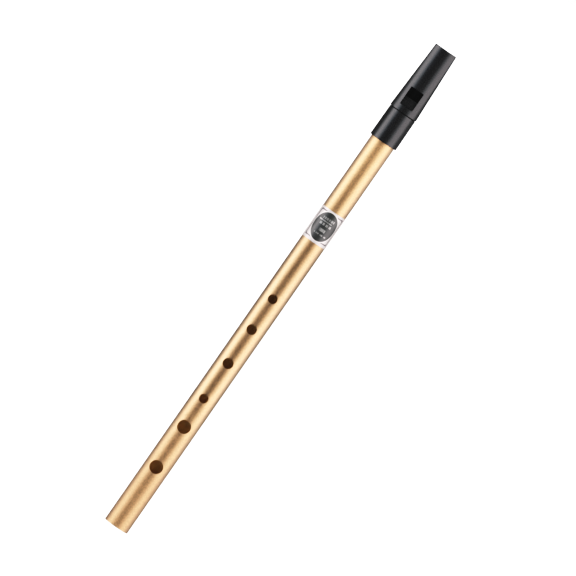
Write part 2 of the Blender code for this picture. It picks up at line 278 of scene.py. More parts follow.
def drill_hole(bm, wear, outside, inside, first_row, centre_height, hole_radius):
    """The skin round one finger hole, the hole's rounded edge and its wall."""
    outer_border = outside.border(first_row)
    inner_border = inside.border(first_row)
    directions = [
        math.atan2(v.co.z - centre_height, TUBE_RADIUS * math.atan2(v.co.x, -v.co.y))
        for v in outer_border
    ]

    def wall_ring(hole_extra, depth):
        return hole_ring(
            bm, directions, centre_height, hole_radius + hole_extra, TUBE_RADIUS - depth
        )

    lip = wall_ring(EDGE_ROUND, 0)
    rings = [outer_border]
    rings += [skin_ring(bm, lip, outer_border, share, TUBE_RADIUS) for share in RINGS_ROUND_HOLE]
    rings.append(lip)
    for step in range(1, EDGE_STEPS + 1):
        turn = math.pi / 2 * step / EDGE_STEPS
        rings.append(wall_ring(EDGE_ROUND * (1 - math.sin(turn)), EDGE_ROUND * (1 - math.cos(turn))))
    worn = rings[-EDGE_STEPS - 1 :]
    inner_lip = wall_ring(0, TUBE_WALL)
    rings.append(inner_lip)
    inner_radius = TUBE_RADIUS - TUBE_WALL
    for share in RINGS_INSIDE_HOLE:
        rings.append(skin_ring(bm, inner_lip, inner_border, share, inner_radius))
    rings.append(inner_border)
    for ring, next_ring in zip(rings, rings[1:]):
        bridge(bm, ring, next_ring)
    for ring in worn:
        for vertex in ring:
            vertex[wear] = 1.0


def tube_heights():
    """Heights of the grid's rows, and each hole's first row."""
    lowest = TUBE_LOW.z + EDGE_ROUND
    highest = TUBE_HIGH.z - EDGE_ROUND
    heights = [lowest, lowest + WORN_END]
    first_rows = {}
    for centre, diameter in sorted(FINGER_HOLES):
        half = diameter / 2 + HOLE_MARGIN
        first_rows[centre] = len(heights)
        heights += [
            centre + half * (2 * row / HOLE_ROWS - 1) + TUBE_LOW.z for row in range(HOLE_ROWS + 1)
        ]
    heights += [highest - WORN_END, highest]
    return heights, first_rows


def end_ring(bm, skin, row, inset, height):
    """A ring like one of the grid's, moved to another radius and height."""
    ring = []
    for vertex in skin.ring(row):
        outward = Vector((vertex.co.x, vertex.co.y)).normalized()
        radius = skin.radius - inset
        ring.append(bm.verts.new((outward.x * radius, outward.y * radius, height)))
    return ring


def close_end(bm, wear, outside, inside, row, height, direction):
    """The rounded edge of one end of the tube, from the outer skin to the inner one."""
    rings = [outside.ring(row)]
    for step in range(1, END_STEPS + 1):
        turn = math.pi / 2 * step / END_STEPS
        inset = EDGE_ROUND * (1 - math.cos(turn))
        up = EDGE_ROUND * (1 - math.sin(turn))
        rings.append(end_ring(bm, outside, row, inset, height + direction * up))
    for step in range(END_STEPS):
        turn = math.pi / 2 * step / END_STEPS
        inset = -EDGE_ROUND * (1 - math.sin(turn))
        up = EDGE_ROUND * (1 - math.cos(turn))
        rings.append(end_ring(bm, inside, row, inset, height + direction * up))
    rings.append(inside.ring(row))
    for ring, next_ring in zip(rings, rings[1:]):
        bridge(bm, ring, next_ring)
    for ring in rings[: END_STEPS + 2]:
        for vertex in ring:
            vertex[wear] = 1.0


def build_tube(material, inner_material):
    bm = bmesh.new()
    wear = bm.verts.layers.float.new("wear")
    heights, first_rows = tube_heights()
    outside = TubeSkin(bm, TUBE_RADIUS, heights)
    inside = TubeSkin(bm, TUBE_RADIUS - TUBE_WALL, heights)
    beside_hole = {first + row for first in first_rows.values() for row in range(HOLE_ROWS)}
    half = FRONT_COLUMNS // 2
    for row in range(len(heights) - 1):
        for column in range(-TUBE_COLUMNS // 2, TUBE_COLUMNS // 2):
            if row in beside_hole and -half <= column < half:
                continue
            for skin in (outside, inside):
                bm.faces.new(
                    (
                        skin.at(row, column),
                        skin.at(row, column + 1),
                        skin.at(row + 1, column + 1),
                        skin.at(row + 1, column),
                    )
                )
    for centre, diameter in FINGER_HOLES:
        drill_hole(bm, wear, outside, inside, first_rows[centre], centre, diameter / 2)
    close_end(bm, wear, outside, inside, 0, TUBE_LOW.z, 1)
    close_end(bm, wear, outside, inside, len(heights) - 1, TUBE_HIGH.z, -1)

    tube = make_piece("gold_tube", bm)
    finish_piece(tube, "tube", "body_tube", material)
    tube.data.materials.append(inner_material)
    inner_limit = TUBE_RADIUS - TUBE_WALL / 2
    for face in tube.data.polygons:
        if math.hypot(face.center.x, face.center.y) < inner_limit:
            face.material_index = 1
    shade(tube, TUBE_SMOOTH_ANGLE)
    return tube


# --- Mouthpiece and fipple block --------------------------------------------------------------
def on_cone(values, height):
    """A value given at the cone's base and at its tip, at another height."""
    share = (height - FERRULE_LENGTH) / (HEAD_LENGTH - FERRULE_LENGTH)
    return blend_value(values[0], values[1], share)


def arc(centre, radius, start, end, steps):
    """Points on an arc about centre, from angle start to angle end in degrees."""
    angles = [math.radians(blend_value(start, end, i / steps)) for i in range(steps + 1)]
    return [(centre[0] + radius * math.cos(a), centre[1] + radius * math.sin(a)) for a in angles]


def scoop_back(height):
    """How far behind the axis the scoop lies at a height; outside its reach, beyond the cone."""
    start = HEAD_LENGTH - SCOOP_LENGTH
    rise = on_cone(CONE_HALF_WIDTH, start) - BEAK_BACK
    chord_squared = SCOOP_LENGTH**2 + rise**2
    radius = chord_squared / (2 * (rise * math.cos(SCOOP_TILT) - SCOOP_LENGTH * math.sin(SCOOP_TILT)))
    axis_height = HEAD_LENGTH + radius * math.sin(SCOOP_TILT)
    axis_back = BEAK_BACK + radius * math.cos(SCOOP_TILT)
    reach = radius**2 - (height - axis_height) ** 2
    if reach < 0:
        return CLEAR_OF_ALL
    return min(CLEAR_OF_ALL, axis_back - math.sqrt(reach))


def soft_minimum(a, b, softness):
    overlap = max(softness - abs(a - b), 0) / softness
    return min(a, b) - overlap**2 * softness / 4


def cone_section(height, inset):
    """(x, y) points round the cone: a wide arc in front, two corners, and a half circle behind.

    The scoop planes the back of it flat. The whole curve lies inset within the cone's surface.
    """
    half_width = on_cone(CONE_HALF_WIDTH, height)
    corner = on_cone(CONE_CORNER, height)
    to_corner = CONE_FRONT_RADIUS - corner
    swing = math.asin((half_width - corner) / to_corner)
    front_centre = CONE_FRONT_RADIUS - half_width
    corner_x = half_width - corner
    corner_y = front_centre - to_corner * math.cos(swing)
    left = 270 - math.degrees(swing)
    right = 270 + math.degrees(swing)
    points = [
        *arc((0, 0), half_width - inset, 0, 180, BACK_STEPS),
        *arc((-corner_x, corner_y), corner - inset, 180, left, CORNER_STEPS),
        *arc((0, front_centre), CONE_FRONT_RADIUS - inset, left, right, FRONT_STEPS)[1:],
        *arc((corner_x, corner_y), corner - inset, right, 360, CORNER_STEPS)[1:],
    ]
    back = scoop_back(height) - inset
    return [(x, soft_minimum(y, back, BEAK_CORNER)) for x, y in points]


def ferrule_section(radius):
    """(x, y) points round a circle, in line with those of the cone's base."""
    base = [Vector(point).normalized() for point in cone_section(FERRULE_LENGTH, 0)]
    return [(radius * direction.x, radius * direction.y) for direction in base]


def head_sections():
    """(height, points) of each ring, from the rim up to the tip."""
    under_groove = FERRULE_LENGTH - GROOVE_HEIGHT
    groove_bottom = (FERRULE_TOP_RADIUS - GROOVE_DEPTH, FERRULE_LENGTH - GROOVE_HEIGHT / 2)
    rim_centre = (FERRULE_RIM_RADIUS - RIM_ROUND, RIM_ROUND)
    edge_centre = (
        FERRULE_TOP_RADIUS - FERRULE_EDGE_ROUND,
        under_groove - FERRULE_EDGE_ROUND,
    )
    ferrule = [
        *arc(rim_centre, RIM_ROUND, -90, 0, RIM_STEPS),
        *arc(edge_centre, FERRULE_EDGE_ROUND, 0, 90, FERRULE_EDGE_STEPS),
        groove_bottom,
    ]
    sections = [(height, ferrule_section(radius)) for radius, height in ferrule]

    cone_start = FERRULE_LENGTH + SHOULDER_ROUND
    cone_end = HEAD_LENGTH - TIP_ROUND
    shoulder = arc((0, cone_start), SHOULDER_ROUND, -90, 0, SHOULDER_STEPS)[:-1]
    tip = arc((0, cone_end), TIP_ROUND, 0, 90, TIP_STEPS)
    cone = [(SHOULDER_ROUND - across, height) for across, height in shoulder]
    cone += [(0, blend_value(cone_start, cone_end, row / CONE_ROWS)) for row in range(CONE_ROWS)]
    cone += [(TIP_ROUND - across, height) for across, height in tip]
    sections += [(height, cone_section(height, inset)) for inset, height in cone]
    return sections


def head_solid(name):
    """The mouthpiece's outside as one closed form with no bore."""
    bm = bmesh.new()
    rings = []
    for height, points in head_sections():
        rings.append([bm.verts.new((x, y, HEAD_LOW.z + height)) for x, y in points])
    for ring, next_ring in zip(rings, rings[1:]):
        bridge(bm, ring, next_ring)
    bm.faces.new(rings[0])
    bm.faces.new(rings[-1])
    return make_piece(name, bm)


def cone_piece(name, bottom, top, radii, flats=None):
    """A closed cone between two heights, planed flat in front if flats gives the flat's distances."""
    bm = bmesh.new()
    middle = Matrix.Translation((0, 0, HEAD_LOW.z + (bottom + top) / 2))
    bmesh.ops.create_cone(
        bm,
        cap_ends=True,
        segments=BORE_SEGMENTS,
        radius1=radii[0],
        radius2=radii[1],
        depth=top - bottom,
        matrix=middle,
    )
    if flats:
        lower = Vector((0, -flats[0], HEAD_LOW.z + bottom))
        upper = Vector((0, -flats[1], HEAD_LOW.z + top))
        outward = (upper - lower).cross(Vector((1, 0, 0)))
        if outward.y > 0:
            outward.negate()
        bmesh.ops.bisect_plane(
            bm,
            geom=bm.verts[:] + bm.edges[:] + bm.faces[:],
            plane_co=lower,
            plane_no=outward,
            clear_outer=True,
        )
        bmesh.ops.holes_fill(bm, edges=[edge for edge in bm.edges if edge.is_boundary])
    return make_piece(name, bm)


def prism_piece(name, outline, width):
    """A prism across X with an outline of (distance in front of the axis, height) points."""
    bm = bmesh.new()
    corners = [bm.verts.new((-width / 2, -front, HEAD_LOW.z + height)) for front, height in outline]
    side = bm.faces.new(corners)
    far = bmesh.ops.extrude_face_region(bm, geom=[side])["geom"]
    far_corners = [item for item in far if isinstance(item, bmesh.types.BMVert)]
    bmesh.ops.translate(bm, verts=far_corners, vec=(width, 0, 0))
    return make_piece(name, bm)


def above_window(values, height):
    """A value given at the window and at the tip, at another height."""
    share = (height - WINDOW_TOP) / (HEAD_LENGTH - WINDOW_TOP)
    return blend_value(values[0], values[1], share)


def block_form(name, bottom, top, fit):
    radii = [above_window(BLOCK_RADIUS, height) - fit for height in (bottom, top)]
    flats = [above_window(WINDWAY_FLOOR, height) - fit for height in (bottom, top)]
    return cone_piece(name, bottom, top, radii, flats)


def head_cutters():
    """The socket, chamber, block seat, windway and window, as closed objects."""
    mouth = SOCKET_RADIUS + SOCKET_LEAD_IN
    inside = CHAMBER_FLAT - 2 * RUN_ON
    start = WINDOW_TOP - RUN_ON
    end = HEAD_LENGTH + RUN_ON
    return [
        cone_piece("lead_in", -RUN_ON, SOCKET_LEAD_IN, (mouth + RUN_ON, SOCKET_RADIUS)),
        cone_piece("socket", SOCKET_START, SOCKET_DEPTH, (SOCKET_RADIUS, SOCKET_RADIUS)),
        cone_piece(
            "chamber",
            SOCKET_DEPTH - RUN_ON,
            WINDOW_TOP - RUN_ON / 2,
            (CHAMBER_RADIUS, CHAMBER_RADIUS),
            (CHAMBER_FLAT, CHAMBER_FLAT),
        ),
        block_form("block_seat", start, end, 0),
        prism_piece(
            "windway",
            [
                (above_window(WINDWAY_ROOF, start), start),
                (above_window(WINDWAY_ROOF, end), end),
                (above_window(WINDWAY_FLOOR, end) - RUN_ON, end),
                (above_window(WINDWAY_FLOOR, start) - RUN_ON, start),
            ],
            WINDWAY_WIDTH,
        ),
        prism_piece(
            "window",
            [
                (CLEAR_OF_ALL, RAMP_BOTTOM),
                (RAMP_DEPTH, RAMP_BOTTOM),
                (CHAMBER_FLAT + BLADE_THICKNESS, BLADE_EDGE),
                (inside, BLADE_EDGE),
                (inside, WINDOW_TOP),
                (CLEAR_OF_ALL, WINDOW_TOP),
            ],
            WINDOW_WIDTH,
        ),
    ]


def build_mouthpiece(material):
    head = head_solid("moulded_mouthpiece")
    carve(head, head_cutters())
    shade(head)
    finish_piece(head, "head", "mouthpiece", material)
    return head


def build_block(material):
    block = block_form("moulded_fipple_block", WINDOW_TOP, HEAD_LENGTH - BLOCK_INSET, BLOCK_FIT)
    carve(block, [head_solid("beak_form")], "INTERSECT")
    shade(block)
    finish_piece(block, "head", "fipple_block", material)
    return block


# --- Label ------------------------------------------------------------------------------------
def round_corner(across, along, half_width, half_height):
    """Pull a point of a rectangle in to its rounded corner."""
    corner_x = half_width - LABEL_CORNER
    corner_y = half_height - LABEL_CORNER
    past_x = abs(across) - corner_x
    past_y = abs(along) - corner_y
    if past_x <= 0 or past_y <= 0:
        return across, along
    reach = math.hypot(past_x, past_y)
    square = max(past_x, past_y)
    scale = square / reach
    return (
        math.copysign(corner_x + past_x * scale, across),
        math.copysign(corner_y + past_y * scale, along),
    )


def build_label(material):
    """A thin sheet bent round the front of the tube, with a map in millimetres across and along."""
    bm = bmesh.new()
    flat_map = bm.loops.layers.uv.new("label_mm")
    inner_radius = LABEL_RADIUS - LABEL_THICKNESS
    half_width = inner_radius * LABEL_WRAP / 2
    half_height = (LABEL_HIGH.z - LABEL_LOW.z) / 2
    centre = (LABEL_HIGH.z + LABEL_LOW.z) / 2
    spots = {}
    grid = []
    for row in range(LABEL_ROWS + 1):
        line = []
        for column in range(LABEL_COLUMNS + 1):
            across = half_width * (2 * column / LABEL_COLUMNS - 1)
            along = half_height * (2 * row / LABEL_ROWS - 1)
            across, along = round_corner(across, along, half_width, half_height)
            angle = across / inner_radius
            place = (inner_radius * math.sin(angle), -inner_radius * math.cos(angle), centre + along)
            vertex = bm.verts.new(place)
            spots[vertex] = (across / MM, along / MM)
            line.append(vertex)
        grid.append(line)
    for row in range(LABEL_ROWS):
        for column in range(LABEL_COLUMNS):
            face = bm.faces.new(
                (
                    grid[row][column],
                    grid[row][column + 1],
                    grid[row + 1][column + 1],
                    grid[row + 1][column],
                )
            )
            for loop in face.loops:
                loop[flat_map].uv = spots[loop.vert]
    label = make_piece("foil_label", bm)
    skin = label.modifiers.new("thickness", "SOLIDIFY")
    skin.thickness = LABEL_THICKNESS
    skin.offset = 1
    apply_modifiers(label)
    shade(label)
    finish_piece(label, "tube", "label", material)
    return label


# --- Node tools -------------------------------------------------------------------------------
class Graph:
    """Short calls that add nodes to one node tree."""

    def __init__(self, tree):
        self.tree = tree

    def add(self, kind, **settings):
        node = self.tree.nodes.new(kind)
        for name, value in settings.items():
            setattr(node, name, value)
        return node

    def feed(self, socket, value):
        """Link a socket to another node's output, or set its value."""
        if isinstance(value, bpy.types.NodeSocket):
            self.tree.links.new(value, socket)
        else:
            socket.default_value = value

    def math(self, operation, a, b=0.0, clamp=False):
        node = self.add("ShaderNodeMath", operation=operation, use_clamp=clamp)
        self.feed(node.inputs[0], a)
        self.feed(node.inputs[1], b)
        return node.outputs[0]

    def band(self, value, low, high, soft):
        """1 where value is between low and high, with edges soft wide, and 0 outside."""
        up = self.step(value, low, soft)
        down = self.step(value, high, soft)
        return self.math("SUBTRACT", up, down, clamp=True)

    def step(self, value, edge, soft):
        """0 below the edge and 1 above it, over a width of soft."""
        past = self.math("SUBTRACT", value, edge)
        scaled = self.math("DIVIDE", past, soft)
        return self.math("ADD", scaled, 0.5, clamp=True)

    def scaled(self, vector, x, y, z):
        node = self.add("ShaderNodeMapping", vector_type="POINT")
        self.feed(node.inputs["Vector"], vector)
        node.inputs["Scale"].default_value = (x, y, z)
        return node.outputs[0]

    def noise(self, vector, scale, detail=3.0, roughness=0.55):
        node = self.add("ShaderNodeTexNoise")
        self.feed(node.inputs["Vector"], vector)
        node.inputs["Scale"].default_value = scale
        node.inputs["Detail"].default_value = detail
        node.inputs["Roughness"].default_value = roughness
        return node.outputs["Fac"]

    def remap(self, value, low, high, to_low, to_high):
        node = self.add("ShaderNodeMapRange", clamp=True)
        self.feed(node.inputs["Value"], value)
        node.inputs["From Min"].default_value = low
        node.inputs["From Max"].default_value = high
        node.inputs["To Min"].default_value = to_low
        node.inputs["To Max"].default_value = to_high
        return node.outputs[0]

    def mix(self, share, a, b, blend_type="MIX"):
        node = self.add("ShaderNodeMix", data_type="RGBA", blend_type=blend_type)
        self.feed(node.inputs[0], share)
        self.feed(node.inputs[6], a)
        self.feed(node.inputs[7], b)
        return node.outputs[2]

    def bump(self, height, distance, strength=1.0, normal=None):
        node = self.add("ShaderNodeBump")
        node.inputs["Strength"].default_value = strength
        node.inputs["Distance"].default_value = distance
        self.feed(node.inputs["Height"], height)
        if normal is not None:
            self.feed(node.inputs["Normal"], normal)
        return node.outputs[0]


def new_material(name):
    """A material with a Principled shader; returns it, its graph and the shader."""
    material = bpy.data.materials.new(name)
    material.use_nodes = True
    graph = Graph(material.node_tree)
    return material, graph, material.node_tree.nodes["Principled BSDF"]


def colour(red, green, blue):
    return (red, green, blue, 1.0)


# --- Materials --------------------------------------------------------------------------------
FOOT_END = (85 * MM, 25 * MM)  # heights between which the gold changes towards that end
MOUTH_END = (170 * MM, 225 * MM)
GOLD_MIDDLE = colour(0.700, 0.459, 0.247)
GOLD_FOOT = colour(0.715, 0.475, 0.264)
GOLD_PAINTED_LIGHT_AT_MOUTH = colour(0.86, 0.57, 0.30)  # painted light: a lighter gold towards the mouthpiece, standing in for the brighter light that falls on that end
GOLD_PAINTED_SHEEN = colour(0.74, 0.56, 0.39)  # painted sheen: a paler colour painted in where the surface is seen at a glancing angle
GOLD_FOOT_PAINTED_SHEEN = colour(0.60, 0.44, 0.30)  # the same painted sheen near the foot
PAINTED_SHEEN_SPREAD = (0.22, 0.52)  # how far the surface has turned away where the painted sheen starts and is full
GOLD_WORN = colour(0.92, 0.70, 0.46)
GOLD_EDGE = colour(0.70, 0.68, 0.66)  # how much of the light it returns at a glancing angle
SPECKLE = 0.15  # share by which the blasted surface is lighter and darker in spots
SPARKLE = 1.2  # times as strong as that where it is seen face on, away from the lights
GOLD_ROUGHNESS = 0.49
FOOT_ROUGHER = 0.14  # added to the roughness at that end
MOUTH_ROUGHER = 0.075
LACQUER_IOR = 1.5
HEAD_BLACK = (colour(0.0178, 0.0188, 0.0192), colour(0.0252, 0.0258, 0.0262))
HEAD_ROUGHNESS = 0.20
BLOCK_BLACK = (colour(0.020, 0.021, 0.022), colour(0.028, 0.029, 0.030))
BLOCK_ROUGHNESS = 0.30
PLASTIC_IOR = 1.55
PLASTIC_SPECULAR = 0.60
PLASTIC_TINT = colour(0.895, 0.95, 1.0)
LABEL_TURN = 0.5  # millimetres by which the print is off to the right of the holes
LABEL_LIFT = 0.2  # millimetres by which it is above the middle of the foil

OVAL_HALF_WIDTH = 6.7  # millimetres on the flat label, as are the sizes below
OVAL_HALF_HEIGHT = 8.05
HALO_REACH = 1.07  # of the pale line round the oval, as a share of the oval
FRAME_SIDE = 7.6
FRAME_END = 7.95
FRAME_LINE = 0.65
CORNER_REACH = 13.6  # across plus along, past which the frame's corners are filled
FOIL_TINT = colour(0.97, 0.94, 1.0)
LABEL_MARKS = (  # (height, half height, left end, right end, length of a dash or 0 for a rule)
    (4.4, 0.65, -3.1, 3.4, 1.3),
    (2.85, 0.30, -4.6, 2.7, 0),
    (1.2, 0.65, -3.7, 3.5, 1.8),
    (-1.95, 0.80, -1.6, 1.8, 0),
    (-4.4, 0.36, -3.1, 3.8, 2.3),
)


def gold_material():
    """Blasted and lacquered brass: a mottled satin, rougher at the two ends than where it is held.
    Painted light makes it lighter towards the mouthpiece, and a painted sheen pales it at glancing
    angles.
    """
    material, graph, shader = new_material("satin_gold")
    place = graph.add("ShaderNodeTexCoord").outputs["Object"]
    split = graph.add("ShaderNodeSeparateXYZ")
    graph.feed(split.inputs[0], place)
    height = split.outputs[2]
    grain = graph.noise(graph.scaled(place, 1, 1, 0.6), 5200, 3, 0.6)
    mottle = graph.noise(graph.scaled(place, 1, 1, 0.7), 1500, 2, 0.6)
    hairlines = graph.noise(graph.scaled(place, 1, 1, 0.03), 9000, 2)
    smudges = graph.noise(place, 90, 3)
    wear = graph.add("ShaderNodeAttribute", attribute_name="wear").outputs["Fac"]
    facing = graph.add("ShaderNodeLayerWeight").outputs["Facing"]
    foot = graph.remap(height, *FOOT_END, 0, 1)
    mouth = graph.remap(height, *MOUTH_END, 0, 1)

    # Painted light: the gold is lighter towards the mouthpiece, where more light falls.
    base = graph.mix(mouth, GOLD_MIDDLE, GOLD_PAINTED_LIGHT_AT_MOUTH)
    base = graph.mix(foot, base, GOLD_FOOT)
    fine = graph.math("MULTIPLY", grain, 0.3)
    speckle = graph.math("ADD", fine, graph.math("MULTIPLY", mottle, 0.7))
    speckle = graph.remap(speckle, 0.38, 0.62, -SPECKLE, SPECKLE)
    speckle = graph.math("MULTIPLY", speckle, graph.remap(facing, 0, 0.05, SPARKLE, 1))
    speckle = graph.math("ADD", 1.0, speckle)
    base = graph.mix(1.0, base, speckle, "MULTIPLY")
    base = graph.mix(graph.math("MULTIPLY", wear, 0.6), base, GOLD_WORN)
    # Painted sheen: the base colour is paled where the surface is seen at a glancing angle.
    painted_sheen = graph.remap(facing, *PAINTED_SHEEN_SPREAD, 0, 1)
    base = graph.mix(painted_sheen, base, graph.mix(foot, GOLD_PAINTED_SHEEN, GOLD_FOOT_PAINTED_SHEEN))
    graph.feed(shader.inputs["Base Color"], base)
    shader.inputs["Metallic"].default_value = 1.0
    rough = graph.remap(mottle, 0.3, 0.7, GOLD_ROUGHNESS - 0.04, GOLD_ROUGHNESS + 0.04)
    rough = graph.math("ADD", rough, graph.remap(smudges, 0.3, 0.8, -0.02, 0.03))
    rough = graph.math("ADD", rough, graph.math("MULTIPLY", foot, FOOT_ROUGHER))
    rough = graph.math("ADD", rough, graph.math("MULTIPLY", mouth, MOUTH_ROUGHER))
    graph.feed(shader.inputs["Roughness"], rough)
    graph.feed(shader.inputs["Coat Weight"], graph.remap(foot, 0, 1, 1.0, 0.5))
    shader.inputs["Coat IOR"].default_value = LACQUER_IOR
    shader.inputs["Specular Tint"].default_value = GOLD_EDGE
    graph.feed(shader.inputs["Coat Roughness"], graph.remap(mottle, 0.3, 0.7, 0.34, 0.42))
    normal = graph.bump(grain, 0.006 * MM, 0.6)
    graph.feed(shader.inputs["Normal"], graph.bump(hairlines, 0.004 * MM, 0.5, normal))
    graph.feed(shader.inputs["Coat Normal"], graph.bump(mottle, 0.012 * MM, 0.4))
    return material


def bare_brass_material():
    """The unfinished inside of the tube: pale satin brass with drawing marks along it."""
    material, graph, shader = new_material("bare_brass_inside")
    place = graph.add("ShaderNodeTexCoord").outputs["Object"]
    marks = graph.noise(graph.scaled(place, 1, 1, 0.05), 2500, 3)
    stains = graph.noise(place, 150, 4)
    base = graph.mix(marks, colour(0.80, 0.60, 0.29), colour(0.88, 0.67, 0.35))
    base = graph.mix(graph.remap(stains, 0.4, 0.8, 0, 0.5), base, colour(0.60, 0.37, 0.15))
    graph.feed(shader.inputs["Base Color"], base)
    shader.inputs["Metallic"].default_value = 0.3
    graph.feed(shader.inputs["Roughness"], graph.remap(stains, 0.3, 0.7, 0.50, 0.65))
    graph.feed(shader.inputs["Normal"], graph.bump(marks, 0.01 * MM, 0.5))
    return material


def plastic_material(name, base_dark, base_light, roughness):
    """Black moulded plastic: a slight waviness, fine handling scratches and a dusting of grey."""
    material, graph, shader = new_material(name)
    place = graph.add("ShaderNodeTexCoord").outputs["Object"]
    waviness = graph.noise(place, 160, 2)
    grain = graph.noise(place, 4200, 3)
    scratches = graph.noise(graph.scaled(place, 1, 0.6, 0.05), 5200, 2)
    dust = graph.noise(place, 900, 5, 0.7)
    base = graph.mix(graph.remap(dust, 0.45, 0.75, 0, 1), base_dark, base_light)
    graph.feed(shader.inputs["Base Color"], base)
    rough = graph.remap(waviness, 0.3, 0.7, roughness - 0.03, roughness + 0.04)
    rough = graph.math("ADD", rough, graph.remap(scratches, 0.55, 0.8, 0.0, 0.12))
    graph.feed(shader.inputs["Roughness"], rough)
    shader.inputs["IOR"].default_value = PLASTIC_IOR
    shader.inputs["Specular IOR Level"].default_value = PLASTIC_SPECULAR
    shader.inputs["Specular Tint"].default_value = PLASTIC_TINT
    normal = graph.bump(waviness, 0.03 * MM, 0.25)
    normal = graph.bump(grain, 0.002 * MM, 0.5, normal)
    graph.feed(shader.inputs["Normal"], graph.bump(scratches, 0.003 * MM, 0.5, normal))
    return material


def film_material():
    """The tuning sleeve: pale wound film with faint turns round it."""
    material, graph, shader = new_material("pale_film")
    place = graph.add("ShaderNodeTexCoord").outputs["Object"]
    turns = graph.add("ShaderNodeTexWave", bands_direction="Z")
    graph.feed(turns.inputs["Vector"], place)
    turns.inputs["Scale"].default_value = 120
    turns.inputs["Distortion"].default_value = 0.6
    fuzz = graph.noise(place, 1500, 4)
    base = graph.mix(fuzz, colour(0.62, 0.61, 0.57), colour(0.80, 0.79, 0.75))
    graph.feed(shader.inputs["Base Color"], base)
    graph.feed(shader.inputs["Roughness"], graph.remap(fuzz, 0.3, 0.7, 0.5, 0.7))
    graph.feed(shader.inputs["Normal"], graph.bump(turns.outputs["Fac"], 0.02 * MM, 0.6))
    return material


def label_material():
    """Silver foil print: a dark oval with abstract light bars, in a fine frame."""
    material, graph, shader = new_material("printed_foil")
    flat = graph.add("ShaderNodeUVMap", uv_map="label_mm").outputs[0]
    split = graph.add("ShaderNodeSeparateXYZ")
    graph.feed(split.inputs[0], flat)
    across = graph.math("SUBTRACT", split.outputs[0], LABEL_TURN)
    along = graph.math("SUBTRACT", split.outputs[1], LABEL_LIFT)
    side = graph.math("ABSOLUTE", across)
    end = graph.math("ABSOLUTE", along)

    across_share = graph.math("DIVIDE", across, OVAL_HALF_WIDTH)
    along_share = graph.math("DIVIDE", along, OVAL_HALF_HEIGHT)
    squares = graph.math(
        "ADD",
        graph.math("POWER", graph.math("ABSOLUTE", across_share), 2.0),
        graph.math("POWER", graph.math("ABSOLUTE", along_share), 2.0),
    )
    oval_reach = graph.math("SQRT", squares)
    oval = graph.math("SUBTRACT", 1.0, graph.step(oval_reach, 1.0, 0.02), clamp=True)
    halo = graph.band(oval_reach, 1.0, HALO_REACH, 0.02)

    bar_place = graph.scaled(flat, 1.2, 0.12, 1)
    breaks = graph.remap(graph.noise(bar_place, 1.3, 1), 0.38, 0.58, 0.4, 1)
    bars = 0.0
    for height, half_height, left, right, dash in LABEL_MARKS:
        row = graph.band(along, height - half_height, height + half_height, 0.2)
        bar = graph.math("MULTIPLY", row, graph.band(across, left, right, 0.3))
        if dash:
            saw = graph.math("PINGPONG", across, dash / 2)
            bar = graph.math("MULTIPLY", bar, graph.step(saw, dash * 0.16, 0.2))
        bars = graph.math("MAXIMUM", bars, graph.math("MULTIPLY", bar, breaks))

    inside_frame = graph.math("LESS_THAN", side, FRAME_SIDE)
    inside_frame = graph.math("MULTIPLY", inside_frame, graph.math("LESS_THAN", end, FRAME_END))
    frame_side = graph.band(side, FRAME_SIDE - FRAME_LINE, FRAME_SIDE, 0.1)
    frame_end = graph.band(end, FRAME_END - FRAME_LINE, FRAME_END, 0.1)
    lines = graph.math("MULTIPLY", graph.math("MAXIMUM", frame_side, frame_end), inside_frame)
    corner = graph.step(graph.math("ADD", side, end), CORNER_REACH, 0.1)
    corner = graph.math("MULTIPLY", corner, inside_frame)
    lines = graph.math("MAXIMUM", lines, graph.math("MULTIPLY", corner, 0.8))
    lines = graph.math("MULTIPLY", lines, graph.step(oval_reach, 1.05, 0.02))

    place = graph.add("ShaderNodeTexCoord").outputs["Object"]
    flecks = graph.noise(place, 3500, 3)
    smudges = graph.noise(place, 300, 4)
    silver = graph.mix(flecks, colour(0.66, 0.62, 0.61), colour(0.80, 0.76, 0.75))
    silver = graph.mix(graph.remap(smudges, 0.45, 0.8, 0, 0.2), silver, colour(0.55, 0.53, 0.52))
    base = graph.mix(lines, silver, colour(0.16, 0.15, 0.16))
    ink = graph.mix(flecks, colour(0.044, 0.052, 0.048), colour(0.072, 0.080, 0.077))
    base = graph.mix(halo, base, colour(0.84, 0.82, 0.81))
    base = graph.mix(oval, base, ink)
    bars_on_oval = graph.math("MULTIPLY", bars, graph.math("MULTIPLY", oval, 0.7))
    base = graph.mix(bars_on_oval, base, colour(0.58, 0.59, 0.58))
    graph.feed(shader.inputs["Base Color"], base)
    graph.feed(shader.inputs["Metallic"], graph.remap(oval, 0, 1, 0.15, 0.35))
    rough = graph.remap(smudges, 0.3, 0.7, 0.30, 0.42)
    graph.feed(shader.inputs["Roughness"], rough)
    shader.inputs["Specular IOR Level"].default_value = 1.0
    shader.inputs["Specular Tint"].default_value = FOIL_TINT
    raised = graph.math("MULTIPLY", graph.math("ADD", lines, bars_on_oval), -1.0)
    normal = graph.bump(raised, 0.01 * MM, 0.5)
    graph.feed(shader.inputs["Normal"], graph.bump(flecks, 0.003 * MM, 0.4, normal))
    return material


# --- Studio -----------------------------------------------------------------------------------
BRIGHTEST = 1.3  # the light that is shown as pure white
CURVE_GAIN = 2.2
CURVE_POWER = 1.5
GLARE = 0.0040  # stray light in the lens, which lifts the blacks
# Shares of the brightest light at which the curve is set
CURVE_PLACES = (0.006, 0.0125, 0.025, 0.05, 0.1, 0.15, 0.2, 0.3, 0.4, 0.5, 0.6, 0.75)

